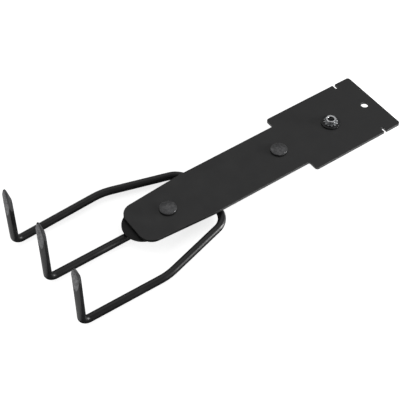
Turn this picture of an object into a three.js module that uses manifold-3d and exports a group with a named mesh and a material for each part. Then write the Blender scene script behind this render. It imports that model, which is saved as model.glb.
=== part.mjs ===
// Three-pronged wall rack: a T-headed steel plate, a backing strip under it, two bent rods whose ends
// turn up into pointed hooks, and the fasteners that hold the stack together.
// Millimetres, +Z up. The rack lies on its back: X runs from the hooks to the T head, the hooks stand
// up along Z. Z = 0 is the floor under the bolt ends. Lengths along X are counted from the front
// carriage bolt; at the end the whole rack is moved so that the middle of its footprint is the origin.
import * as THREE from 'three';
import { mergeVertices } from 'three/addons/utils/BufferGeometryUtils.js';
import Module from 'manifold-3d';

const wasm = await Module();
wasm.setup();

// ---- driving dimensions ----
const GAP = 0.3; // between pieces that touch
const ROD_D = 8;
const PLATE_T = 3;
const STRIP_T = 1.5;

const PLATE = {
  end: -40.5, // narrow end
  kink: 34, // where the neck starts to taper
  step: 149.5, // where the head starts
  head: 259.4, // head end
  endHalf: 25,
  neckHalf: 30,
  headHalf: 41.5,
  endRadius: 14,
  kinkRadius: 12,
  headRadius: 3,
  innerRadius: 1.5, // where the neck meets the head
  notchX: 239.2,
  notchWidth: 3,
  notchDepth: 6,
  notchLipRadius: 0.4,
  notchFloorRadius: 0.6,
  wallHoleX: 246.6,
  wallHoleR: 3.9,
};
const STRIP = { front: -49.3, rear: 155, half: 21 };
const BOLT_X = { front: 0, rear: 134, head: 201 };

// The prongs were bent by hand, so the far one (+Y) and the near one (-Y) differ a little.
const PRONG = {
  shoulderOut: { far: 60.9, near: 60.55 }, // from the middle of the rack
  hookOut: { far: 56.5, near: 59.4 },
  hookX: { far: -136.1, centre: -132.9, near: -132.8 },
  hookHeight: { far: 71.3, centre: 78.6, near: 76.8 }, // rod axis to tip
  hookBendR: 8,
  shoulderX: { far: -37.3, near: -41 },
  shoulderR: 60,
  crossbarX: 43.2,
  crossbarHalf: { far: 36.7, near: 37.4 },
  crossbarR: 20,
  centreTail: -12, // where the centre rod ends under the strip
};

// M6 hardware
const M6 = { shank: 3, hole: 3.3, nutAcross: 10, nutH: 5, thinNutH: 3.2, washerR: 6, washerT: 1.6 };
const CARRIAGE = { headR: 8.6, headH: 2.8, rim: 1.4, neck: 6, neckLen: 4 };
const PENNY = { r: 10, t: 1 };
const TOOTH_WASHER = { root: 5.8, tip: 7.4, t: 0.6, teeth: 12 };
const BOLT_END = 1.5; // thread showing past a nut

// ---- the stack, from the floor up ----
const STRIP_Z = BOLT_END + M6.nutH + 2 * M6.washerT + 3 * GAP;
const ROD_Z = STRIP_Z - GAP - ROD_D / 2;
const PLATE_Z = STRIP_Z + STRIP_T + GAP;
const PLATE_TOP = PLATE_Z + PLATE_T;

// ---- finishes ----
const coat = () => new THREE.MeshStandardMaterial({ color: 0x1b1b1c, roughness: 0.55, metalness: 0.1 });
const blackSteel = () => new THREE.MeshStandardMaterial({ color: 0x2a2a2b, roughness: 0.4, metalness: 0.6 });
const zinc = () => new THREE.MeshStandardMaterial({ color: 0xc8cacc, roughness: 0.25, metalness: 1 });

const rack = new THREE.Group();

function add(name, geometry, material, parent = rack) {
  const mesh = new THREE.Mesh(geometry, material);
  mesh.name = name;
  parent.add(mesh);
  return mesh;
}

// ---- joins and cuts ----
function solid(geometry) {
  const bare = geometry.clone();
  bare.deleteAttribute('normal');
  bare.deleteAttribute('uv');
  const welded = mergeVertices(bare, 1e-4);
  return new wasm.Manifold(new wasm.Mesh({
    numProp: 3,
    vertProperties: Float32Array.from(welded.attributes.position.array),
    triVerts: Uint32Array.from(welded.index.array),
  }));
}

function toGeometry(manifold) {
  const mesh = manifold.getMesh();
  const geometry = new THREE.BufferGeometry();
  const points = new Float32Array(mesh.numVert * 3);
  for (let i = 0; i < mesh.numVert; i += 1) {
    for (let k = 0; k < 3; k += 1) points[3 * i + k] = mesh.vertProperties[mesh.numProp * i + k];
  }
  geometry.setAttribute('position', new THREE.BufferAttribute(points, 3));
  geometry.setIndex(new THREE.BufferAttribute(Uint32Array.from(mesh.triVerts), 1));
  geometry.computeVertexNormals();
  return geometry;
}

function slab(shape, z, thickness, curveSegments = 16) {
  const geometry = new THREE.ExtrudeGeometry(shape, { depth: thickness, bevelEnabled: false, curveSegments });
  return geometry.translate(0, 0, z);
}

// ---- outlines ----
function roundedOutline(corners) {
  // corners: [x, y, radius], anticlockwise
  const shape = new THREE.Shape();
  corners.forEach(([x, y, radius], i) => {
    const [px, py] = corners[(i + corners.length - 1) % corners.length];
    const [nx, ny] = corners[(i + 1) % corners.length];
    const here = new THREE.Vector2(x, y);
    const back = new THREE.Vector2(px, py).sub(here).normalize();
    const ahead = new THREE.Vector2(nx, ny).sub(here).normalize();
    const turn = Math.acos(THREE.MathUtils.clamp(back.dot(ahead), -1, 1));
    const run = radius / Math.tan(turn / 2);
    const outwards = back.cross(ahead) > 0;
    const start = here.clone().addScaledVector(back, run);
    const finish = here.clone().addScaledVector(ahead, run);
    const centre = here.clone().addScaledVector(back.add(ahead).normalize(), radius / Math.sin(turn / 2));
    const from = start.sub(centre).angle();
    const to = finish.sub(centre).angle();
    shape.absarc(centre.x, centre.y, radius, from, to, outwards);
  });
  shape.closePath();
  return shape;
}

function roundHole(radius) {
  const hole = new THREE.Path();
  hole.absarc(0, 0, radius, 0, 2 * Math.PI, true);
  return hole;
}

// A flat bar with holes punched through it: `square` at each carriage bolt, `round` as [x, radius].
function punched(shape, z, thickness, { square = [], round = [] }, curveSegments) {
  const neckHole = CARRIAGE.neck + 2 * GAP;
  const punches = [
    ...square.map((x) => new THREE.BoxGeometry(neckHole, neckHole, 3 * thickness).translate(x, 0, z)),
    ...round.map(([x, radius]) => (
      new THREE.CylinderGeometry(radius, radius, 3 * thickness, 40).rotateX(Math.PI / 2).translate(x, 0, z)
    )),
  ];
  let bar = solid(slab(shape, z, thickness, curveSegments));
  for (const punch of punches) bar = bar.subtract(solid(punch));
  return toGeometry(bar);
}

// ---- top plate: T head with a notch in each side and a wall hole, tapered towards the hooks ----
const notchFrom = PLATE.notchX - PLATE.notchWidth / 2;
const notchTo = PLATE.notchX + PLATE.notchWidth / 2;
const notchFloor = PLATE.headHalf - PLATE.notchDepth;
const nearSide = [
  [PLATE.end, -PLATE.endHalf, PLATE.endRadius],
  [PLATE.kink, -PLATE.neckHalf, PLATE.kinkRadius],
  [PLATE.step, -PLATE.neckHalf, PLATE.innerRadius],
  [PLATE.step, -PLATE.headHalf, PLATE.headRadius],
  [notchFrom, -PLATE.headHalf, PLATE.notchLipRadius],
  [notchFrom, -notchFloor, PLATE.notchFloorRadius],
  [notchTo, -notchFloor, PLATE.notchFloorRadius],
  [notchTo, -PLATE.headHalf, PLATE.notchLipRadius],
  [PLATE.head, -PLATE.headHalf, PLATE.headRadius],
];
const farSide = nearSide.map(([x, y, r]) => [x, -y, r]).reverse();
const plateShape = roundedOutline([...nearSide, ...farSide]);
const plateHoles = {
  square: [BOLT_X.front, BOLT_X.rear],
  round: [[BOLT_X.head, M6.hole], [PLATE.wallHoleX, PLATE.wallHoleR]],
};
add('top_plate', punched(plateShape, PLATE_Z, PLATE_T, plateHoles, 8), coat());

// ---- backing strip: round-ended flat bar that the rods are welded under ----
const stripShape = new THREE.Shape();
stripShape.absarc(STRIP.rear - STRIP.half, 0, STRIP.half, -Math.PI / 2, Math.PI / 2, false);
stripShape.absarc(STRIP.front + STRIP.half, 0, STRIP.half, Math.PI / 2, 1.5 * Math.PI, false);
stripShape.closePath();
const stripHoles = { square: [BOLT_X.front, BOLT_X.rear] };
add('backing_strip', punched(stripShape, STRIP_Z, STRIP_T, stripHoles, 32), coat());

// ---- bent rods ----
// A curve that passes through given stations, so a straight run costs only its two ends.
class Stations extends THREE.Curve {
  constructor(stations) {
    super();
    this.stations = stations;
  }

  at(u) {
    return this.stations[Math.round(u * (this.stations.length - 1))];
  }

  getPoint(t) {
    return this.at(t).point.clone();
  }

  getPointAt(u) {
    return this.at(u).point.clone();
  }

  getTangentAt(u) {
    return this.at(u).tangent.clone();
  }
}

function bentPath(corners, stepsPerRadian = 7) {
  // corners: [x, y, z, bend radius]; the first and last are the rod's two ends
  const at = corners.map(([x, y, z]) => new THREE.Vector3(x, y, z));
  const stations = [];
  at.forEach((here, i) => {
    const before = at[i - 1];
    const after = at[i + 1];
    if (!before || !after) {
      const tangent = (after ? after.clone().sub(here) : here.clone().sub(before)).normalize();
      stations.push({ point: here.clone(), tangent });
      return;
    }
    const radius = corners[i][3];
    const inward = here.clone().sub(before).normalize();
    const outward = after.clone().sub(here).normalize();
    const turn = inward.angleTo(outward);
    const steps = Math.max(3, Math.ceil(turn * stepsPerRadian));
    const axis = inward.clone().cross(outward).normalize();
    const toCentre = axis.clone().cross(inward);
    const start = here.clone().addScaledVector(inward, -radius * Math.tan(turn / 2));
    const centre = start.clone().addScaledVector(toCentre, radius);
    for (let k = 0; k <= steps; k += 1) {
      const angle = (turn * k) / steps;
      const spoke = start.clone().sub(centre).applyAxisAngle(axis, angle);
      const tangent = inward.clone().applyAxisAngle(axis, angle);
      stations.push({ point: centre.clone().add(spoke), tangent });
    }
  });
  return new Stations(stations);
}

const rodSection = new THREE.Shape();
rodSection.absarc(0, 0, ROD_D / 2, 0, 2 * Math.PI, false);

function bentRod(corners) {
  const path = bentPath(corners);
  return new THREE.ExtrudeGeometry(rodSection, {
    extrudePath: path,
    steps: path.stations.length - 1,
    curveSegments: 14,
    bevelEnabled: false,
  });
}

// Each hook tip is ground by hand on four sides, a quarter turn apart; the first looks a quarter turn
// before `turn`. Each face is given as [start below the tip, distance left to the rod's middle at the tip].
const TIPS = {
  far: { turn: -64, ground: [[30, 0.9], [26, -0.7], [16, 1.1], [6, 2.6]] },
  centre: { turn: -48, ground: [[30, 0.9], [23, -0.7], [16, 1.1], [6, 2.6]] },
  near: { turn: -50, ground: [[26, 1], [18, -0.4], [16, 1.1], [6, 2.6]] },
};

// The block stands for the steel that the grinder takes off one side of a tip.
const GROUND_OFF = { depth: 20, width: 30, height: 90 };

function groundTip(rod, { x, y, top }, { turn, ground }) {
  let tip = rod;
  ground.forEach(([length, left], k) => {
    const angle = THREE.MathUtils.degToRad(turn + 90 * (k - 1));
    const lean = Math.atan2(ROD_D / 2 - left, length);
    const block = new THREE.BoxGeometry(GROUND_OFF.depth, GROUND_OFF.width, GROUND_OFF.height);
    block.translate(GROUND_OFF.depth / 2, 0, 0);
    block.rotateY(-lean);
    block.rotateZ(angle);
    block.translate(x + left * Math.cos(angle), y + left * Math.sin(angle), top);
    tip = tip.subtract(solid(block));
  });
  return tip;
}

const farHook = { x: PRONG.hookX.far, y: PRONG.hookOut.far, top: ROD_Z + PRONG.hookHeight.far };
const nearHook = { x: PRONG.hookX.near, y: -PRONG.hookOut.near, top: ROD_Z + PRONG.hookHeight.near };
const centreHook = { x: PRONG.hookX.centre, y: 0, top: ROD_Z + PRONG.hookHeight.centre };

// outer rod: from the near hook along its prong, across under the strip, and back to the far hook
const outerRod = bentRod([
  [nearHook.x, nearHook.y, nearHook.top],
  [nearHook.x, nearHook.y, ROD_Z, PRONG.hookBendR],
  [PRONG.shoulderX.near, -PRONG.shoulderOut.near, ROD_Z, PRONG.shoulderR],
  [PRONG.crossbarX, -PRONG.crossbarHalf.near, ROD_Z, PRONG.crossbarR],
  [PRONG.crossbarX, PRONG.crossbarHalf.far, ROD_Z, PRONG.crossbarR],
  [PRONG.shoulderX.far, PRONG.shoulderOut.far, ROD_Z, PRONG.shoulderR],
  [farHook.x, farHook.y, ROD_Z, PRONG.hookBendR],
  [farHook.x, farHook.y, farHook.top],
]);
const nearGround = groundTip(solid(outerRod), nearHook, TIPS.near);
const outer = groundTip(nearGround, farHook, TIPS.far);
add('outer_prong_rod', toGeometry(outer), coat());

// centre rod: one hook, and a straight tail that ends short of the front bolt's washer
const centreRod = bentRod([
  [centreHook.x, centreHook.y, centreHook.top],
  [centreHook.x, centreHook.y, ROD_Z, PRONG.hookBendR],
  [PRONG.centreTail, 0, ROD_Z],
]);
const centre = groundTip(solid(centreRod), centreHook, TIPS.centre);
add('centre_prong_rod', toGeometry(centre), coat());

// ---- weld beads: a fillet on each side of a rod where it lies against the strip ----
const BEAD = { reach: 7.2, lowAngle: 0.35, centreFrom: -45, centreTo: -15, crossbarHalf: 16 };

function beadSection() {
  const clear = ROD_D / 2 + GAP;
  const topZ = STRIP_Z - GAP - ROD_Z;
  const shape = new THREE.Shape();
  shape.absarc(0, 0, clear, Math.asin(topZ / clear), BEAD.lowAngle, true);
  shape.quadraticCurveTo(BEAD.reach - 1, topZ - 1.3, BEAD.reach, topZ);
  shape.closePath();
  return shape;
}

function bead(name, length, turn, x, y) {
  const geometry = new THREE.ExtrudeGeometry(beadSection(), { depth: length, bevelEnabled: false });
  geometry.translate(0, 0, -length / 2);
  geometry.rotateX(Math.PI / 2); // section upright, bead along Y
  const mesh = add(name, geometry, coat());
  mesh.position.set(x, y, ROD_Z);
  mesh.rotation.z = turn;
}
const centreBeadMid = (BEAD.centreFrom + BEAD.centreTo) / 2;
const centreBeadLength = BEAD.centreTo - BEAD.centreFrom;
bead('centre_rod_weld_near', centreBeadLength, -Math.PI / 2, centreBeadMid, 0);
bead('centre_rod_weld_far', centreBeadLength, Math.PI / 2, centreBeadMid, 0);
bead('crossbar_weld_front', 2 * BEAD.crossbarHalf, Math.PI, PRONG.crossbarX, 0);
bead('crossbar_weld_rear', 2 * BEAD.crossbarHalf, 0, PRONG.crossbarX, 0);

// ---- fasteners: each is a group standing on its own axis ----
function lathe(profile, segments = 40) {
  const points = profile.map(([r, z]) => new THREE.Vector2(r, z));
  // a lathe turns about Y, so the profile is stood up on Z and its seam welded
  return new THREE.LatheGeometry(points, segments).rotateX(Math.PI / 2);
}

function carriageBolt(length) {
  // head underside at z = 0
  const dome = [[0, 0], [CARRIAGE.headR, 0], [CARRIAGE.headR, CARRIAGE.rim]];
  const rise = CARRIAGE.headH - CARRIAGE.rim;
  const domeR = (CARRIAGE.headR ** 2 + rise ** 2) / (2 * rise);
  const sweep = Math.asin(CARRIAGE.headR / domeR);
  for (let k = 1; k <= 10; k += 1) {
    const angle = sweep * (1 - k / 10);
    dome.push([domeR * Math.sin(angle), CARRIAGE.headH - domeR + domeR * Math.cos(angle)]);
  }
  dome[dome.length - 1][0] = 0;
  const neck = new THREE.BoxGeometry(CARRIAGE.neck, CARRIAGE.neck, CARRIAGE.neckLen + 1);
  neck.translate(0, 0, (1 - CARRIAGE.neckLen) / 2);
  const shank = lathe([[0, -length], [M6.shank - 0.7, -length], [M6.shank, 0.7 - length], [M6.shank, 1], [0, 1]]);
  return toGeometry(solid(lathe(dome, 48)).add(solid(neck)).add(solid(shank)));
}

function ring(outerR, innerR, thickness) {
  const shape = new THREE.Shape();
  shape.absarc(0, 0, outerR, 0, 2 * Math.PI, false);
  shape.holes.push(roundHole(innerR));
  return slab(shape, 0, thickness, 20);
}

function splitRing(outerR, innerR, thickness) {
  const slit = 0.16;
  const shape = new THREE.Shape();
  shape.absarc(0, 0, outerR, slit, 2 * Math.PI - slit, false);
  shape.absarc(0, 0, innerR, 2 * Math.PI - 1.6 * slit, 1.6 * slit, true);
  shape.closePath();
  return slab(shape, 0, thickness, 40);
}

function toothedRing({ root, tip, t, teeth }, innerR) {
  const shape = new THREE.Shape();
  const step = Math.PI / teeth;
  for (let k = 0; k < teeth; k += 1) {
    const middle = 2 * k * step;
    shape.absarc(0, 0, tip, middle - step / 2, middle + step / 2, false);
    shape.absarc(0, 0, root, middle + step / 2, middle + 1.5 * step, false);
  }
  shape.closePath();
  shape.holes.push(roundHole(innerR));
  return slab(shape, 0, t, 6);
}

function hexPrism(height, bore) {
  // a hexagon whose corners are turned off above and below
  const corner = M6.nutAcross / 2 / Math.cos(Math.PI / 6);
  const shape = new THREE.Shape();
  for (let k = 0; k < 6; k += 1) {
    const angle = (k * Math.PI) / 3;
    shape[k ? 'lineTo' : 'moveTo'](corner * Math.cos(angle), corner * Math.sin(angle));
  }
  shape.closePath();
  if (bore) shape.holes.push(roundHole(bore));
  const face = M6.nutAcross / 2 - 0.2;
  const drop = (corner - face) * Math.tan(Math.PI / 6);
  const cone = lathe([[0, 0], [face, 0], [corner, drop], [corner, height - drop], [face, height], [0, height]], 48);
  return solid(slab(shape, 0, height)).intersect(solid(cone));
}

function fastener(x, z) {
  const group = new THREE.Group();
  group.position.set(x, 0, z);
  rack.add(group);
  return group;
}

const gripTop = PLATE_TOP + GAP;
for (const place of ['front', 'rear']) {
  const stack = fastener(BOLT_X[place], 0);
  add(`${place}_carriage_bolt`, carriageBolt(gripTop), blackSteel(), stack).position.z = gripTop;
  const washerZ = STRIP_Z - GAP - M6.washerT;
  add(`${place}_flat_washer`, ring(M6.washerR, M6.hole, M6.washerT), blackSteel(), stack).position.z = washerZ;
  const lockZ = washerZ - GAP - M6.washerT;
  const lock = add(`${place}_lock_washer`, splitRing(M6.washerR - 0.5, M6.hole, M6.washerT), blackSteel(), stack);
  lock.position.z = lockZ;
  const nut = add(`${place}_hex_nut`, toGeometry(hexPrism(M6.nutH, M6.hole)), blackSteel(), stack);
  nut.position.z = lockZ - GAP - M6.nutH;
}

// ---- head fastener: hex bolt up through the head, penny washer, toothed washer and thin nut on top ----
const HEAD_BOLT = { headH: 4, endBelowNutTop: 2.4 };
const headStack = fastener(BOLT_X.head, 0);
const underWasherZ = PLATE_Z - GAP - M6.washerT;
add('head_under_washer', ring(M6.washerR, M6.hole, M6.washerT), blackSteel(), headStack).position.z = underWasherZ;
const pennyZ = PLATE_TOP + GAP;
add('head_penny_washer', ring(PENNY.r, M6.hole, PENNY.t), blackSteel(), headStack).position.z = pennyZ;
const toothZ = pennyZ + PENNY.t + GAP;
add('head_tooth_washer', toothedRing(TOOTH_WASHER, M6.hole), zinc(), headStack).position.z = toothZ;
const thinNutZ = toothZ + TOOTH_WASHER.t + GAP;
const thinNut = add('head_thin_nut', toGeometry(hexPrism(M6.thinNutH, M6.hole)), zinc(), headStack);
thinNut.position.z = thinNutZ;
thinNut.rotation.z = 0.3;
const hexHeadZ = underWasherZ - GAP - HEAD_BOLT.headH;
const boltTop = thinNutZ + M6.thinNutH - HEAD_BOLT.endBelowNutTop;
const shankLen = boltTop - hexHeadZ;
const shank = lathe([[0, 1], [M6.shank, 1], [M6.shank, shankLen - 0.7], [M6.shank - 0.7, shankLen], [0, shankLen]]);
add('head_hex_bolt', toGeometry(hexPrism(HEAD_BOLT.headH, 0).add(solid(shank))), blackSteel(), headStack)
  .position.z = hexHeadZ;

// ---- origin: middle of the footprint ----
const hookEnd = farHook.x - ROD_D / 2;
rack.position.x = -(PLATE.head + hookEnd) / 2;

export default rack;
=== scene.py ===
import math

import bmesh
import bpy
from mathutils import Matrix, Vector


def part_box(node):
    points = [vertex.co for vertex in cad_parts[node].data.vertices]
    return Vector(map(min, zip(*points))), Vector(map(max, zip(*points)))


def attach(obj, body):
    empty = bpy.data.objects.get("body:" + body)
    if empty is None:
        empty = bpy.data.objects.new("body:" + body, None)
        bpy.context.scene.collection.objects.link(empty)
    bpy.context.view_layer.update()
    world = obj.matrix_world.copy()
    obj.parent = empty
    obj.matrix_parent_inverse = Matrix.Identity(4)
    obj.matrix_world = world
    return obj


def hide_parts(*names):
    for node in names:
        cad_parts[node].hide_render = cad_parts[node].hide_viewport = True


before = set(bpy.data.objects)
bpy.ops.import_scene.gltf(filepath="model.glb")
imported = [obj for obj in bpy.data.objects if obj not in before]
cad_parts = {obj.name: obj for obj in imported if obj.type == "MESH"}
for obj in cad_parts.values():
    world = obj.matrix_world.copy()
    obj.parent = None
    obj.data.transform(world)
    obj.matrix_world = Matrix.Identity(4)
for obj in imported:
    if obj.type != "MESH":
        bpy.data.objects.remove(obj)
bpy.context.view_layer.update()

# Camera. It looks down on the rack from beside the hooks, as a product view from about a metre away.
CAMERA_TURN = math.radians(-35.2)
CAMERA_RISE = math.radians(49.0)
CAMERA_AWAY = 1.107
AIM = Vector((-0.0285, -0.0091, 0.0159))

camera_data = bpy.data.cameras.new("camera")
camera_data.lens = 103.5
camera_data.sensor_width = 36
camera = bpy.data.objects.new("camera", camera_data)
towards_camera = Vector((
    math.sin(CAMERA_TURN) * math.cos(CAMERA_RISE),
    -math.cos(CAMERA_TURN) * math.cos(CAMERA_RISE),
    math.sin(CAMERA_RISE),
))
camera.location = AIM + towards_camera * CAMERA_AWAY
camera.rotation_euler = towards_camera.to_track_quat("Z", "Y").to_euler()
bpy.context.scene.collection.objects.link(camera)
bpy.context.scene.camera = camera
bpy.context.scene.view_settings.view_transform = "Standard"

# Studio. A pale table lit by a broad softbox overhead, a bright strip light low on the right, and two
# black sheets of painted shade lying on the table. They are seen only in reflections, where they stand
# for shaded table round and under the prongs, and keep the rods dark.
TABLE_SIDE = 6.0
TABLE_WHITE = (0.8, 0.8, 0.8, 1)
# The table also glows: painted light, which lightens the shadows cast on it.
TABLE_GLOW = 0.75
PAINTED_SHADE_SHEETS = (
    ((-0.203, -0.098, 0.0004), (-0.02, 0.075, 0.0004)),
    ((-0.212, -0.90, 0.0004), (0.35, -0.10, 0.0004)),
)


def flat_sheet(name, low, high, material):
    """A flat rectangle lying level."""
    mesh = bpy.data.meshes.new(name)
    sheet = bmesh.new()
    middle = Matrix.Translation((low + high) / 2)
    stretch = Matrix.Diagonal((high.x - low.x, high.y - low.y, 1, 1))
    bmesh.ops.create_grid(sheet, x_segments=1, y_segments=1, size=0.5, matrix=middle @ stretch)
    sheet.to_mesh(mesh)
    sheet.free()
    mesh.materials.append(material)
    made = bpy.data.objects.new(name, mesh)
    bpy.context.scene.collection.objects.link(made)
    return made


white = bpy.data.materials.new("table_white")
white.use_nodes = True
white_shader = white.node_tree.nodes["Principled BSDF"]
white_shader.inputs["Base Color"].default_value = TABLE_WHITE
white_shader.inputs["Roughness"].default_value = 0.9
white_shader.inputs["Specular IOR Level"].default_value = 0.1
# Painted light: the table's own glow lightens its shadows.
white_shader.inputs["Emission Color"].default_value = (1, 1, 1, 1)
white_shader.inputs["Emission Strength"].default_value = TABLE_GLOW
half_table = Vector((TABLE_SIDE / 2, TABLE_SIDE / 2, 0))
flat_sheet("table", -half_table, half_table, white)

black = bpy.data.materials.new("painted_shade_black")
black.use_nodes = True
black.node_tree.nodes["Principled BSDF"].inputs["Base Color"].default_value = (0.01, 0.01, 0.01, 1)
# Painted shade: these black sheets show only in reflections, in place of shade on the table.
for number, (low, high) in enumerate(PAINTED_SHADE_SHEETS):
    sheet_of_shade = flat_sheet(f"painted_shade_card_{number}", Vector(low), Vector(high), black)
    sheet_of_shade.visible_camera = False
    sheet_of_shade.visible_diffuse = False
    sheet_of_shade.visible_shadow = False


def area_light(name, place, aim, width, height, power):
    """A rectangular soft light aimed at a point."""
    data = bpy.data.lights.new(name, "AREA")
    data.shape = "RECTANGLE"
    data.size = width
    data.size_y = height
    data.energy = power
    light = bpy.data.objects.new(name, data)
    light.location = place
    light.rotation_euler = (Vector(place) - Vector(aim)).to_track_quat("Z", "Y").to_euler()
    light.visible_camera = False
    bpy.context.scene.collection.objects.link(light)


area_light("softbox", (0.35, 0.5, 1.2), (0, 0, 0), 1.5, 1.2, 3.6)
area_light("strip_light", (0.72, -0.53, 0.12), (-0.05, -0.05, 0.0), 0.14, 0.40, 12)

world = bpy.data.worlds.new("surroundings")
bpy.context.scene.world = world
world.use_nodes = True
nodes, links = world.node_tree.nodes, world.node_tree.links
seen_directly = nodes.new("ShaderNodeLightPath")
room = nodes.new("ShaderNodeMix")
room.inputs["A"].default_value = 0.3
room.inputs["B"].default_value = 1.0
links.new(seen_directly.outputs["Is Camera Ray"], room.inputs["Factor"])
links.new(room.outputs["Result"], nodes["Background"].inputs["Strength"])
nodes["Background"].inputs["Color"].default_value = (1, 1, 1, 1)


# Top plate: 3 mm sheet steel, cut to a T head with a notch in each side and one wall hole, its edges
# tumbled round, then powder coated satin black. Two carriage bolts and the head bolt go through it.
def tapered_corner(x, y, rounding, before, after):
    """How far from the corner a rounding of that radius starts."""
    here = Vector((x, y))
    turn = (Vector(before[:2]) - here).angle(Vector(after[:2]) - here)
    return rounding / math.tan(turn / 2)


def cut_outline(bm, corners, z):
    """The outline of a flat bar, its corners given as [x, y, radius]."""
    points = [bm.verts.new((x, y, z)) for x, y, radius in corners]
    bm.faces.new(points)
    for number, (x, y, radius) in enumerate(corners):
        before, after = corners[number - 1], corners[(number + 1) % len(corners)]
        bmesh.ops.bevel(
            bm, geom=[points[number]], offset=tapered_corner(x, y, radius, before, after),
            offset_type="OFFSET", segments=10, profile=0.5, affect="VERTICES", material=-1,
        )
    bmesh.ops.delete(bm, geom=bm.faces[:], context="FACES_ONLY")


def punch(bm, x, y, z, radius, sides):
    """The edge of a hole, round or square."""
    place = Matrix.Translation((x, y, z)) @ Matrix.Rotation(math.pi / 4, 4, "Z")
    bmesh.ops.create_circle(bm, segments=sides, radius=radius, matrix=place)


def thicken(bm, thickness):
    """Fills the outline, round its holes, and gives it its thickness."""
    bmesh.ops.triangle_fill(bm, edges=bm.edges[:], use_beauty=True)
    raised = bmesh.ops.extrude_face_region(bm, geom=bm.faces[:])["geom"]
    raised = [part for part in raised if isinstance(part, bmesh.types.BMVert)]
    bmesh.ops.translate(bm, verts=raised, vec=(0, 0, thickness))
    bmesh.ops.dissolve_limit(bm, angle_limit=math.radians(0.2), verts=bm.verts, edges=bm.edges)
    bmesh.ops.recalc_face_normals(bm, faces=bm.faces)


def soften(bm, width, sharper_than=40, segments=3):
    """Rounds the sharp edges, and marks them for wear."""
    sharp = [e for e in bm.edges if e.is_manifold and e.calc_face_angle() > math.radians(sharper_than)]
    worn = bm.verts.layers.float.new("edge")
    made = bmesh.ops.bevel(
        bm, geom=sharp, offset=width, offset_type="OFFSET", segments=segments,
        profile=0.5, affect="EDGES", clamp_overlap=True, material=-1,
    )
    rounded = set(made["faces"])
    for vert in made["verts"]:
        vert[worn] = 1.0 if rounded.issuperset(vert.link_faces) else 0.0


def finish_piece(bm, name, material, slot, *replaced):
    """Makes the piece's object, and says what it rides on and which frame nodes it stands for."""
    mesh = bpy.data.meshes.new(name)
    for face in bm.faces:
        face.smooth = True
    bm.to_mesh(mesh)
    bm.free()
    mesh.materials.append(material)
    piece = bpy.data.objects.new(name, mesh)
    bpy.context.scene.collection.objects.link(piece)
    even = piece.modifiers.new("even_shading", "WEIGHTED_NORMAL")
    even.keep_sharp = True
    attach(piece, "root")
    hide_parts(*replaced)


def add_node(material, kind, **inputs):
    """A node with the given values in its sockets."""
    node = material.node_tree.nodes.new(kind)
    for socket, value in inputs.items():
        node.inputs[socket.replace("_", " ")].default_value = value
    return node


def spread(material, source, low, high, to_low, to_high):
    """Stretches part of a grey pattern to a new range."""
    ends = {"From_Min": low, "From_Max": high, "To_Min": to_low, "To_Max": to_high}
    node = add_node(material, "ShaderNodeMapRange", **ends)
    material.node_tree.links.new(source, node.inputs["Value"])
    return node.outputs["Result"]


def pattern(material, kind, scale, **inputs):
    """A pattern laid through the piece, with `scale` repeats in a metre."""
    links = material.node_tree.links
    place = next((n for n in material.node_tree.nodes if n.type == "TEX_COORD"), None)
    place = place or add_node(material, "ShaderNodeTexCoord")
    node = add_node(material, kind, Scale=scale, **inputs)
    links.new(place.outputs["Object"], node.inputs["Vector"])
    return node


def blend(material, factor, first, second):
    """Mixes two colours by a grey pattern; each is a colour or another node's output."""
    links = material.node_tree.links
    node = material.node_tree.nodes.new("ShaderNodeMix")
    node.data_type = "RGBA"
    links.new(factor, node.inputs["Factor"])
    for socket, value in ((6, first), (7, second)):
        if isinstance(value, tuple):
            node.inputs[socket].default_value = value
        else:
            links.new(value, node.inputs[socket])
    return node.outputs[2]


def times(material, first, second):
    """Two grey patterns multiplied."""
    links = material.node_tree.links
    node = material.node_tree.nodes.new("ShaderNodeMath")
    node.operation = "MULTIPLY"
    links.new(first, node.inputs[0])
    links.new(second, node.inputs[1])
    return node.outputs[0]


def relief(material, shader, height, depth, strength):
    """Raises the surface by a pattern."""
    links = material.node_tree.links
    node = add_node(material, "ShaderNodeBump", Strength=strength, Distance=depth)
    links.new(height, node.inputs["Height"])
    links.new(node.outputs["Normal"], shader.inputs["Normal"])


COAT_BLACK = (0.0062, 0.0062, 0.0065, 1)
COAT_FADED = (0.0105, 0.0105, 0.011, 1)
COAT_RUBBED = (0.05, 0.05, 0.052, 1)
GROUND_STEEL = (0.17, 0.17, 0.174, 1)


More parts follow.
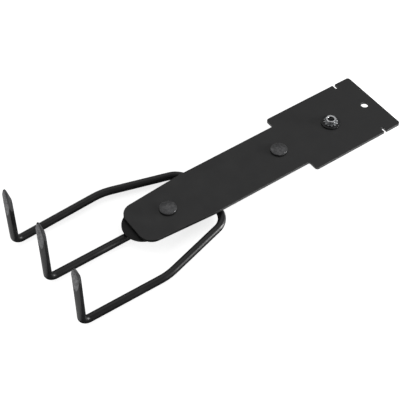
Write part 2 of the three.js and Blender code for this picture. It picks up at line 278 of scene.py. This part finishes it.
def powder_coat(name, specular, smoothest, roughest):
    """Satin black powder: a fine pebbled skin, a little duller in patches and rubbed on the edges."""
    material = bpy.data.materials.new(name)
    material.use_nodes = True
    links = material.node_tree.links
    shader = material.node_tree.nodes["Principled BSDF"]
    shader.inputs["Specular IOR Level"].default_value = specular
    pebbles = pattern(material, "ShaderNodeTexNoise", 1500, Detail=3.0, Roughness=0.6)
    patches = pattern(material, "ShaderNodeTexNoise", 55, Detail=4.0, Roughness=0.55)
    specks = pattern(material, "ShaderNodeTexNoise", 420, Detail=2.0, Roughness=0.7)
    faded = blend(material, spread(material, patches.outputs["Fac"], 0.35, 0.7, 0, 1), COAT_BLACK, COAT_FADED)
    edge = material.node_tree.nodes.new("ShaderNodeAttribute")
    edge.attribute_name = "edge"
    rubbed = times(material, edge.outputs["Fac"], spread(material, specks.outputs["Fac"], 0.45, 0.7, 0, 1))
    colour = blend(material, rubbed, faded, COAT_RUBBED)
    gloss = spread(material, patches.outputs["Fac"], 0.3, 0.7, smoothest, roughest)
    links.new(gloss, shader.inputs["Roughness"])
    relief(material, shader, pebbles.outputs["Fac"], 0.00006, 0.6)
    ground = material.node_tree.nodes.new("ShaderNodeAttribute")
    ground.attribute_name = "ground"
    # Bare steel shows where the tips are ground; the tips' second face is marked only partly, and its darker
    # tone is painted shade.
    bare = times(material, ground.outputs["Fac"], spread(material, specks.outputs["Fac"], 0.3, 0.62, 0.35, 1))
    links.new(blend(material, bare, colour, GROUND_STEEL), shader.inputs["Base Color"])
    links.new(spread(material, bare, 0, 1, 0, 0.8), shader.inputs["Metallic"])
    return material


plate_coat = powder_coat("satin_black_plate", 0.5, 0.43, 0.59)

plate_low, plate_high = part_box("top_plate")
front_bolt_x = (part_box("front_carriage_bolt")[0].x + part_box("front_carriage_bolt")[1].x) / 2
rear_bolt_x = (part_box("rear_carriage_bolt")[0].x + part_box("rear_carriage_bolt")[1].x) / 2
head_bolt_x = (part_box("head_hex_bolt")[0].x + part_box("head_hex_bolt")[1].x) / 2
KINK_FROM_END = 0.0745
STEP_FROM_END = 0.190
END_HALF = 0.025
NECK_HALF = 0.030
NOTCH_FROM_HEAD = 0.0202
NOTCH_WIDTH = 0.003
NOTCH_DEPTH = 0.006
WALL_HOLE_FROM_HEAD = 0.0128
WALL_HOLE_R = 0.0039
SHANK_HOLE_R = 0.0033
NECK_HOLE_SIDE = 0.0066
PLATE_EDGE = 0.00035

head_half = plate_high.y
notch_x = plate_high.x - NOTCH_FROM_HEAD
notch_floor = head_half - NOTCH_DEPTH
near_side = [
    (plate_low.x, -END_HALF, 0.014),
    (plate_low.x + KINK_FROM_END, -NECK_HALF, 0.012),
    (plate_low.x + STEP_FROM_END, -NECK_HALF, 0.0015),
    (plate_low.x + STEP_FROM_END, -head_half, 0.003),
    (notch_x - NOTCH_WIDTH / 2, -head_half, 0.0004),
    (notch_x - NOTCH_WIDTH / 2, -notch_floor, 0.0006),
    (notch_x + NOTCH_WIDTH / 2, -notch_floor, 0.0006),
    (notch_x + NOTCH_WIDTH / 2, -head_half, 0.0004),
    (plate_high.x, -head_half, 0.003),
]
far_side = [(x, -y, radius) for x, y, radius in reversed(near_side)]
bm = bmesh.new()
cut_outline(bm, near_side + far_side, plate_low.z)
punch(bm, plate_high.x - WALL_HOLE_FROM_HEAD, 0, plate_low.z, WALL_HOLE_R, 40)
punch(bm, head_bolt_x, 0, plate_low.z, SHANK_HOLE_R, 32)
for x in (front_bolt_x, rear_bolt_x):
    punch(bm, x, 0, plate_low.z, NECK_HOLE_SIDE / math.sqrt(2), 4)
thicken(bm, plate_high.z - plate_low.z)
soften(bm, PLATE_EDGE)
finish_piece(bm, "t_head_plate", plate_coat, "powder_coat", "top_plate")

# Backing strip: a round-ended 1.5 mm flat bar under the plate, with the same square holes for the bolt
# necks. The rods are welded to its underside. It is coated together with the rods.
strip_coat = powder_coat("satin_black_strip", 0.22, 0.46, 0.56)
STRIP_EDGE = 0.0003

strip_low, strip_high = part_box("backing_strip")
strip_half = strip_high.y
bm = bmesh.new()
for x in (strip_low.x + strip_half, strip_high.x - strip_half):
    bmesh.ops.create_circle(
        bm, segments=96, radius=strip_half, matrix=Matrix.Translation((x, 0, strip_low.z))
    )
middle = (strip_low.x + strip_high.x) / 2
inside = [v for v in bm.verts if abs(v.co.x - middle) < (strip_high.x - strip_low.x) / 2 - strip_half - 1e-6]
bmesh.ops.delete(bm, geom=inside, context="VERTS")
ends = [v for v in bm.verts if len(v.link_edges) == 1]
for side in (-1, 1):
    bm.edges.new([v for v in ends if v.co.y * side > 0])
for x in (front_bolt_x, rear_bolt_x):
    punch(bm, x, 0, strip_low.z, NECK_HOLE_SIDE / math.sqrt(2), 4)
thicken(bm, strip_high.z - strip_low.z)
soften(bm, STRIP_EDGE)
finish_piece(bm, "backing_bar", strip_coat, "powder_coat", "backing_strip")

# Prong rods: 8 mm round bar. One long rod is bent into both outer prongs and the bar that joins them,
# the other makes the middle prong. Each hook's tip is ground by hand on four sides after bending.
ROD_R = 0.004
HOOK_BEND_R = 0.008
SHOULDER_FROM_CROSSBAR = {"near": 0.0842, "far": 0.0805}
SHOULDER_R = 0.060
SHOULDER_OUT = {"near": 0.06055, "far": 0.06083}
HOOK_OUT = {"near": 0.0594, "far": 0.0565}
CROSSBAR_HALF = {"near": 0.0374, "far": 0.0367}
CROSSBAR_R = 0.020
NEAR_HOOK_INSET = 0.0033
FAR_HOOK_DROP = 0.0055
ROD_SIDES = 40


def bend_rod(bm, corners):
    """A round bar drawn straight and bent round each corner, given as (place, bend radius)."""
    places = [Vector(place) for place, bend in corners]
    ahead = (places[1] - places[0]).normalized()
    turned_to = ahead.to_track_quat("Z", "Y").to_matrix().to_4x4()
    start = bmesh.ops.create_circle(
        bm, cap_ends=True, segments=ROD_SIDES, radius=ROD_R, matrix=Matrix.Translation(places[0]) @ turned_to
    )
    ring = {e for v in start["verts"] for e in v.link_edges}
    here = places[0]

    def run_to(place):
        nonlocal ring, here
        drawn = bmesh.ops.extrude_edge_only(bm, edges=list(ring))["geom"]
        moved = [part for part in drawn if isinstance(part, bmesh.types.BMVert)]
        bmesh.ops.translate(bm, verts=moved, vec=place - here)
        ring = {part for part in drawn if isinstance(part, bmesh.types.BMEdge)}
        here = place

    for number in range(1, len(corners) - 1):
        bend = corners[number][1]
        inward = (places[number] - places[number - 1]).normalized()
        outward = (places[number + 1] - places[number]).normalized()
        turn = inward.angle(outward)
        axis = inward.cross(outward).normalized()
        run_to(places[number] - inward * bend * math.tan(turn / 2))
        centre = here + axis.cross(inward) * bend
        bent = bmesh.ops.spin(
            bm, geom=list(ring), cent=centre, axis=axis, angle=turn,
            steps=max(6, round(math.degrees(turn) / 3)), use_duplicate=False,
        )["geom_last"]
        ring = {part for part in bent if isinstance(part, bmesh.types.BMEdge)}
        here = places[number] + outward * bend * math.tan(turn / 2)
    run_to(places[-1])
    bmesh.ops.edgeloop_fill(bm, edges=list(ring))
    bmesh.ops.recalc_face_normals(bm, faces=bm.faces)


# Each tip is ground on four sides, a quarter turn apart. Each face is given as its start below the tip
# and its distance from the rod's middle at the tip. The first constant below is how bare the second face
# is, kept low so that face stays darker: painted shade on the facet turned from the light.
PAINTED_SHADE_FACE = 0.3
NEAR_TIP = (-50, ((0.026, 0.0010), (0.018, -0.0004), (0.016, 0.0011), (0.006, 0.0026)))
MIDDLE_TIP = (-48, ((0.030, 0.0009), (0.023, -0.0007), (0.016, 0.0011), (0.006, 0.0026)))
FAR_TIP = (-64, ((0.030, 0.0009), (0.026, -0.0007), (0.016, 0.0011), (0.006, 0.0026)))


def grind_tip(bm, x, y, top, tip):
    """Cuts the four flat faces of a hook's tip, the first a quarter turn before the tip's angle. The
    second face is marked only partly bare, so it stays darker: painted shade."""
    turn, faces = tip
    marked = bm.faces.layers.float.get("ground") or bm.faces.layers.float.new("ground")
    for side, (length, left) in enumerate(faces):
        angle = math.radians(turn - 90 + 90 * side)
        outwards = Vector((math.cos(angle), math.sin(angle), 0))
        lean = math.atan2(ROD_R - left, length)
        looks = outwards * math.cos(lean) + Vector((0, 0, math.sin(lean)))
        shaft = [
            f for f in bm.faces
            if all(abs(v.co.x - x) < 0.006 and abs(v.co.y - y) < 0.006 for v in f.verts)
            and max(v.co.z for v in f.verts) > top - 0.040
        ]
        parts = {part for f in shaft for part in (f, *f.verts, *f.edges)}
        cut = bmesh.ops.bisect_plane(
            bm, geom=list(parts), plane_co=Vector((x, y, top)) + outwards * left,
            plane_no=looks, clear_outer=True, dist=1e-7,
        )["geom_cut"]
        edges = [part for part in cut if isinstance(part, bmesh.types.BMEdge)]
        for face in bmesh.ops.edgeloop_fill(bm, edges=edges)["faces"]:
            # The second face gets a lower mark and stays darker: painted shade.
            face[marked] = PAINTED_SHADE_FACE if side == 1 else 1.0


rod_coat = powder_coat("satin_black_rod", 0.38, 0.32, 0.45)

rod_low, rod_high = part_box("outer_prong_rod")
rod_z = rod_low.z + ROD_R
far_x = rod_low.x + ROD_R
near_x = far_x + NEAR_HOOK_INSET
crossbar_x = rod_high.x - ROD_R
near_top = rod_high.z
far_top = near_top - FAR_HOOK_DROP

bm = bmesh.new()
bend_rod(bm, (
    ((near_x, -HOOK_OUT["near"], near_top), 0),
    ((near_x, -HOOK_OUT["near"], rod_z), HOOK_BEND_R),
    ((crossbar_x - SHOULDER_FROM_CROSSBAR["near"], -SHOULDER_OUT["near"], rod_z), SHOULDER_R),
    ((crossbar_x, -CROSSBAR_HALF["near"], rod_z), CROSSBAR_R),
    ((crossbar_x, CROSSBAR_HALF["far"], rod_z), CROSSBAR_R),
    ((crossbar_x - SHOULDER_FROM_CROSSBAR["far"], SHOULDER_OUT["far"], rod_z), SHOULDER_R),
    ((far_x, HOOK_OUT["far"], rod_z), HOOK_BEND_R),
    ((far_x, HOOK_OUT["far"], far_top), 0),
))
grind_tip(bm, near_x, -HOOK_OUT["near"], near_top, NEAR_TIP)
grind_tip(bm, far_x, HOOK_OUT["far"], far_top, FAR_TIP)
finish_piece(bm, "outer_prongs", rod_coat, "powder_coat", "outer_prong_rod")

centre_low, centre_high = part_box("centre_prong_rod")
centre_x = centre_low.x + ROD_R
bm = bmesh.new()
bend_rod(bm, (
    ((centre_x, 0, centre_high.z), 0),
    ((centre_x, 0, rod_z), HOOK_BEND_R),
    ((centre_high.x, 0, rod_z), 0),
))
grind_tip(bm, centre_x, 0, centre_high.z, MIDDLE_TIP)
finish_piece(bm, "middle_prong", rod_coat, "powder_coat", "centre_prong_rod")


# Weld beads: the rods are welded to the strip's underside with a run of bead along each side. Each
# bead is a row of overlapping ripples, left as welded and coated over with the rest.
RIPPLE = 0.0011
RIPPLE_DIP = 0.86


def weld_bead(name, node):
    """A rippled fillet in the corner between a rod and the strip, filling the node's box."""
    low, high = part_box(node)
    along_x = high.x - low.x > high.y - low.y
    length = (high.x - low.x) if along_x else (high.y - low.y)
    middle = (low + high) / 2
    width = (high.y - low.y) if along_x else (high.x - low.x)
    tall = high.z - low.z
    rod_side = 1 if (middle.y < 0 if along_x else middle.x < crossbar_x) else -1
    bead = bmesh.new()
    corner = [
        bead.verts.new((rod_side * width / 2, -length / 2, tall / 2)),
        bead.verts.new((-rod_side * width / 2, -length / 2, tall / 2)),
        bead.verts.new((rod_side * width / 2, -length / 2, -tall / 2)),
    ]
    bead.faces.new(corner)
    bmesh.ops.bevel(
        bead, geom=corner[1:], offset=tall * 0.3, offset_type="OFFSET", segments=4,
        profile=0.5, affect="VERTICES", material=-1,
    )
    bead.normal_update()
    section = bead.faces[:]
    pivot = Vector((rod_side * width / 2, 0, tall / 2))
    steps = int(length / RIPPLE) * 2
    for step in range(steps):
        pushed = bmesh.ops.extrude_face_region(bead, geom=section)["geom"]
        if step:
            bmesh.ops.delete(bead, geom=section, context="FACES_ONLY")
        section = [part for part in pushed if isinstance(part, bmesh.types.BMFace)]
        verts = [part for part in pushed if isinstance(part, bmesh.types.BMVert)]
        bmesh.ops.translate(bead, verts=verts, vec=(0, length / steps, 0))
        size = RIPPLE_DIP if step % 2 else 1 / RIPPLE_DIP
        shrink = size if step else RIPPLE_DIP
        bmesh.ops.scale(bead, verts=verts, vec=(shrink, 1, shrink), space=Matrix.Translation(-pivot))
    bmesh.ops.recalc_face_normals(bead, faces=bead.faces)
    turn = Matrix.Rotation(math.pi / 2, 4, "Z") if along_x else Matrix.Identity(4)
    bmesh.ops.transform(bead, verts=bead.verts, matrix=Matrix.Translation(middle) @ turn)
    finish_piece(bead, name, rod_coat, "powder_coat", node)


weld_bead("weld_bead_near", "centre_rod_weld_near")
weld_bead("weld_bead_far", "centre_rod_weld_far")
weld_bead("weld_bead_front", "crossbar_weld_front")
weld_bead("weld_bead_rear", "crossbar_weld_rear")

# Carriage bolts: two black M6 bolts with low domed heads. The square neck under each head sits in the
# square holes of the plate and strip, and each is drawn up by a flat washer, a split washer and a nut.
HEAD_R = 0.0086
HEAD_RIM = 0.0014
HEAD_RISE = 0.0014
NECK_SIDE = 0.006
NECK_LENGTH = 0.004
SHANK_R = 0.003
THREAD_PITCH = 0.001
THREAD_DEPTH = 0.00045
THREAD_RUNOUT = 0.0002
END_CHAMFER = 0.0005
END_CHAMFER_INSET = 0.0004
HARDWARE_EDGE = 0.0002
OXIDE_BLACK = (0.015, 0.015, 0.016, 1)
OXIDE_BROWNED = (0.06, 0.06, 0.061, 1)
HEAD_GREY = (0.06, 0.06, 0.062, 1)
HEAD_WORN = (0.2, 0.2, 0.205, 1)


def black_oxide(name, colour, worn):
    """Oxide finish on rolled steel: softly mottled, paler where it is thin and on the edges."""
    material = bpy.data.materials.new(name)
    material.use_nodes = True
    links = material.node_tree.links
    shader = material.node_tree.nodes["Principled BSDF"]
    shader.inputs["Metallic"].default_value = 0.7
    mottle = pattern(material, "ShaderNodeTexNoise", 480, Detail=4.0, Roughness=0.6)
    cloud = pattern(material, "ShaderNodeTexNoise", 160, Detail=2.0, Roughness=0.5)
    grain = pattern(material, "ShaderNodeTexNoise", 2600, Detail=2.0, Roughness=0.6)
    edge = material.node_tree.nodes.new("ShaderNodeAttribute")
    edge.attribute_name = "edge"
    thin = spread(material, mottle.outputs["Fac"], 0.4, 0.75, 0, 0.5)
    base = blend(material, thin, colour, worn)
    blotches = spread(material, mottle.outputs["Fac"], 0.35, 0.6, 0.1, 0.9)
    rubbed = times(material, edge.outputs["Fac"], blotches)
    links.new(blend(material, rubbed, base, worn), shader.inputs["Base Color"])
    links.new(spread(material, cloud.outputs["Fac"], 0.3, 0.7, 0.3, 0.44), shader.inputs["Roughness"])
    relief(material, shader, grain.outputs["Fac"], 0.00002, 0.4)
    return material


bolt_black = black_oxide("black_oxide", OXIDE_BLACK, OXIDE_BROWNED)
bolt_grey = black_oxide("worn_oxide", HEAD_GREY, HEAD_WORN)


def turned(bm, profile, x, steps=64, closed=False):
    """A lathe-turned shape about an upright axis at x. The profile is a list of (radius, height)."""
    points = [bm.verts.new((x + radius, 0, z)) for radius, z in profile]
    pairs = list(zip(points, points[1:] + points[:1])) if closed else list(zip(points, points[1:]))
    lines = [bm.edges.new(pair) for pair in pairs]
    bmesh.ops.spin(
        bm, geom=points + lines, cent=(x, 0, 0), axis=(0, 0, 1), angle=2 * math.pi,
        steps=steps, use_merge=True, use_duplicate=False,
    )
    bmesh.ops.remove_doubles(bm, verts=bm.verts, dist=1e-7)
    bmesh.ops.recalc_face_normals(bm, faces=bm.faces)


def thread(bm, x, low, high, radius, depth):
    """A helical ridge wound round a shank between two heights."""
    turns = (high - low) / THREAD_PITCH - 1
    steps = int(24 * turns)
    root = radius - depth
    ridge = [
        bm.verts.new((x + root - depth / 2, 0, low)),
        bm.verts.new((x + radius, 0, low + THREAD_PITCH / 2)),
        bm.verts.new((x + root - depth / 2, 0, low + THREAD_PITCH)),
    ]
    bmesh.ops.spin(
        bm, geom=[bm.faces.new(ridge)], cent=(x, 0, 0), axis=(0, 0, 1),
        angle=2 * math.pi * turns, steps=steps,
        dvec=(0, 0, THREAD_PITCH * turns / steps), use_merge=False, use_duplicate=False,
    )
    bmesh.ops.recalc_face_normals(bm, faces=bm.faces)


def domed_head(rim_r, rim, rise, z):
    """Half the outline of a low dome standing on a short rim."""
    dome_r = (rim_r ** 2 + rise ** 2) / (2 * rise)
    sweep = math.asin(rim_r / dome_r)
    outline = [(0, z), (rim_r, z), (rim_r, z + rim)]
    for step in range(1, 13):
        angle = sweep * (1 - step / 12)
        outline.append((dome_r * math.sin(angle), z + rim + rise - dome_r * (1 - math.cos(angle))))
    return outline


def carriage_bolt(name, node, x):
    """Domed head, square neck and threaded shank."""
    low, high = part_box(node)
    seat = high.z - HEAD_RISE - HEAD_RIM
    bm = bmesh.new()
    turned(bm, domed_head(HEAD_R, HEAD_RIM, HEAD_RISE, seat), x, 72)
    root = SHANK_R - THREAD_DEPTH
    end = [(0, low.z), (root - END_CHAMFER_INSET, low.z), (root, low.z + END_CHAMFER)]
    turned(bm, [*end, (root, seat), (0, seat)], x, 32)
    neck_middle = Matrix.Translation((x, 0, seat - NECK_LENGTH / 2))
    neck = neck_middle @ Matrix.Diagonal((NECK_SIDE, NECK_SIDE, NECK_LENGTH, 1))
    bmesh.ops.create_cube(bm, size=1, matrix=neck)
    soften(bm, HARDWARE_EDGE)
    thread(bm, x, low.z + THREAD_RUNOUT, seat - NECK_LENGTH, SHANK_R, THREAD_DEPTH)
    finish_piece(bm, name, bolt_grey, "black_hardware", node)


carriage_bolt("front_bolt", "front_carriage_bolt", front_bolt_x)
carriage_bolt("rear_bolt", "rear_carriage_bolt", rear_bolt_x)

# Washers and nuts under the carriage bolts: stamped flat washer, split washer with its ends sprung
# apart, and a hex nut cut from a turned blank with its corners chamfered.
WASHER_R = 0.006
WASHER_BORE = 0.0033
SPLIT_R = 0.0055
SPLIT_SPRING = 0.0003
SPLIT_HALF_GAP = 0.16
NUT_ACROSS = 0.010
CHAMFER_INSET = 0.0002
COUNTERSINK = 0.0005


def flat_washer(name, node, x, radius, material, slot):
    """A stamped washer, its edges rounded by the die."""
    low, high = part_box(node)
    bm = bmesh.new()
    ring = [(WASHER_BORE, low.z), (radius, low.z), (radius, high.z), (WASHER_BORE, high.z)]
    turned(bm, ring, x, 64, closed=True)
    soften(bm, HARDWARE_EDGE)
    finish_piece(bm, name, material, slot, node)


def split_washer(name, node, x):
    """One sprung turn of flat bar, cut through at one side."""
    low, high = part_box(node)
    top = high.z - SPLIT_SPRING
    centre = Vector((x, 0, 0))
    start = Matrix.Rotation(SPLIT_HALF_GAP, 3, "Z")
    bm = bmesh.new()
    bar = [(WASHER_BORE, low.z), (SPLIT_R, low.z), (SPLIT_R, top), (WASHER_BORE, top)]
    face = bm.faces.new([bm.verts.new(centre + start @ Vector((radius, 0, z))) for radius, z in bar])
    steps = 60
    bmesh.ops.spin(
        bm, geom=[face], cent=centre, axis=(0, 0, 1), angle=2 * (math.pi - SPLIT_HALF_GAP),
        steps=steps, dvec=(0, 0, SPLIT_SPRING / steps), use_merge=False, use_duplicate=False,
    )
    bmesh.ops.recalc_face_normals(bm, faces=bm.faces)
    soften(bm, 0.00015)
    finish_piece(bm, name, bolt_black, "black_hardware", node)


def hex_cut(bm, x, across, turn):
    """Cuts the six flats of a nut or a bolt head on a turned blank."""
    for side in range(6):
        angle = turn + math.radians(60 * side + 30)
        outwards = Vector((math.cos(angle), math.sin(angle), 0))
        cut = bmesh.ops.bisect_plane(
            bm, geom=bm.verts[:] + bm.edges[:] + bm.faces[:], dist=1e-7,
            plane_co=Vector((x, 0, 0)) + outwards * across / 2, plane_no=outwards, clear_outer=True,
        )["geom_cut"]
        bmesh.ops.edgeloop_fill(bm, edges=[part for part in cut if isinstance(part, bmesh.types.BMEdge)])


def hex_chamfer(across):
    """Radius over the corners, radius where the chamfer starts, and the chamfer's height."""
    corner = across / 2 / math.cos(math.pi / 6)
    face = across / 2 - CHAMFER_INSET
    return corner, face, (corner - face) * math.tan(math.pi / 6)


def hex_nut(name, node, x, turn, material, slot):
    """A chamfered hex nut with a countersunk bore, its inside painted dark as shade."""
    low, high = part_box(node)
    corner, face, drop = hex_chamfer(NUT_ACROSS)
    sink = COUNTERSINK
    bore = WASHER_BORE - 0.0001
    blank = [
        (bore, low.z + sink), (bore + sink, low.z), (face, low.z), (corner, low.z + drop),
        (corner, high.z - drop), (face, high.z), (bore + sink, high.z), (bore, high.z - sink),
    ]
    bm = bmesh.new()
    turned(bm, blank, x, 96, closed=True)
    # The bore's faces are marked for painted shade, black inside the hole.
    bore_shade_mark = bm.faces.layers.float.new("bore")
    for f in bm.faces:
        if all(math.hypot(v.co.x - x, v.co.y) < bore + 1e-5 for v in f.verts):
            f[bore_shade_mark] = 1.0
    hex_cut(bm, x, NUT_ACROSS, turn)
    soften(bm, 0.00012, sharper_than=25)
    finish_piece(bm, name, material, slot, node)


for place, x in (("front", front_bolt_x), ("rear", rear_bolt_x)):
    flat_washer(f"{place}_washer", f"{place}_flat_washer", x, WASHER_R, bolt_black, "black_hardware")
    split_washer(f"{place}_split_washer", f"{place}_lock_washer", x)
    hex_nut(f"{place}_nut", f"{place}_hex_nut", x, 0, bolt_black, "black_hardware")

# Head fastener: a black hex bolt comes up through the head. Under its bright zinc-plated thin nut lie a
# toothed washer, its teeth twisted to bite, and a 20 mm black penny washer. The bolt ends inside the nut.
PENNY_R = 0.010
TOOTH_ROOT_R = 0.0058
TOOTH_TIP_R = 0.0074
TEETH = 12
TOOTH_TWIST = math.radians(14)
THIN_NUT_TURN = 0.3
BOLT_HEAD_HEIGHT = 0.004
ZINC = (0.62, 0.63, 0.64, 1)
ZINC_DULL = (0.34, 0.345, 0.35, 1)
BORE_SHADE_BLACK = (0.01, 0.01, 0.01, 1)


def bright_zinc(name):
    """Bright plating on machined steel: clouded and finely grained, with its bore painted black as shade."""
    material = bpy.data.materials.new(name)
    material.use_nodes = True
    links = material.node_tree.links
    shader = material.node_tree.nodes["Principled BSDF"]
    shader.inputs["Metallic"].default_value = 1.0
    cloud = pattern(material, "ShaderNodeTexNoise", 500, Detail=3.0, Roughness=0.6)
    grain = pattern(material, "ShaderNodeTexNoise", 3500, Detail=2.0, Roughness=0.6)
    bore = material.node_tree.nodes.new("ShaderNodeAttribute")
    bore.attribute_name = "bore"
    plated = blend(material, spread(material, cloud.outputs["Fac"], 0.4, 0.7, 0, 0.8), ZINC, ZINC_DULL)
    # The marked bore is painted black: painted shade in the hole.
    links.new(blend(material, bore.outputs["Fac"], plated, BORE_SHADE_BLACK), shader.inputs["Base Color"])
    links.new(spread(material, cloud.outputs["Fac"], 0.3, 0.7, 0.2, 0.4), shader.inputs["Roughness"])
    relief(material, shader, grain.outputs["Fac"], 0.00002, 0.35)
    return material


zinc = bright_zinc("bright_zinc_plate")


def toothed_washer(name, node, x):
    """A spring-steel ring with twisted teeth round its rim."""
    low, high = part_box(node)
    thick = (high.z - low.z) * 0.6
    middle = (low.z + high.z) / 2
    bm = bmesh.new()
    ring = [
        (WASHER_BORE, middle - thick / 2), (TOOTH_ROOT_R, middle - thick / 2),
        (TOOTH_ROOT_R, middle + thick / 2), (WASHER_BORE, middle + thick / 2),
    ]
    turned(bm, ring, x, 96, closed=True)
    tooth_length = TOOTH_TIP_R - TOOTH_ROOT_R
    tooth_width = math.pi * (TOOTH_ROOT_R + TOOTH_TIP_R) / 2 / TEETH
    for tooth in range(TEETH):
        place = (
            Matrix.Translation((x, 0, middle))
            @ Matrix.Rotation(2 * math.pi * tooth / TEETH, 4, "Z")
            @ Matrix.Translation((TOOTH_ROOT_R + tooth_length * 0.42, 0, 0))
            @ Matrix.Rotation(TOOTH_TWIST, 4, "X")
            @ Matrix.Diagonal((tooth_length * 1.12, tooth_width, thick, 1))
        )
        bmesh.ops.create_cube(bm, size=1, matrix=place)
    soften(bm, 0.00006, segments=2)
    finish_piece(bm, name, zinc, "bright_zinc", node)


flat_washer("head_washer_below", "head_under_washer", head_bolt_x, WASHER_R, bolt_black, "black_hardware")
flat_washer("penny_washer", "head_penny_washer", head_bolt_x, PENNY_R, bolt_black, "black_hardware")
toothed_washer("toothed_washer", "head_tooth_washer", head_bolt_x)
hex_nut("thin_nut", "head_thin_nut", head_bolt_x, THIN_NUT_TURN, zinc, "bright_zinc")

bolt_low, bolt_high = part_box("head_hex_bolt")
bottom, top = bolt_low.z, bolt_high.z
corner, face, drop = hex_chamfer(NUT_ACROSS)
seat = bottom + BOLT_HEAD_HEIGHT
bm = bmesh.new()
turned(bm, [(0, bottom), (face, bottom), (corner, bottom + drop), (corner, seat), (0, seat)], head_bolt_x, 96)
hex_cut(bm, head_bolt_x, NUT_ACROSS, 0)
root = SHANK_R - THREAD_DEPTH
end = [(root, top - END_CHAMFER), (root - END_CHAMFER_INSET, top), (0, top)]
turned(bm, [(0, seat), (root, seat), *end], head_bolt_x, 32)
soften(bm, 0.00015)
thread(bm, head_bolt_x, seat + THREAD_PITCH, top - THREAD_RUNOUT, SHANK_R, THREAD_DEPTH)
finish_piece(bm, "head_bolt", bolt_black, "black_hardware", "head_hex_bolt")
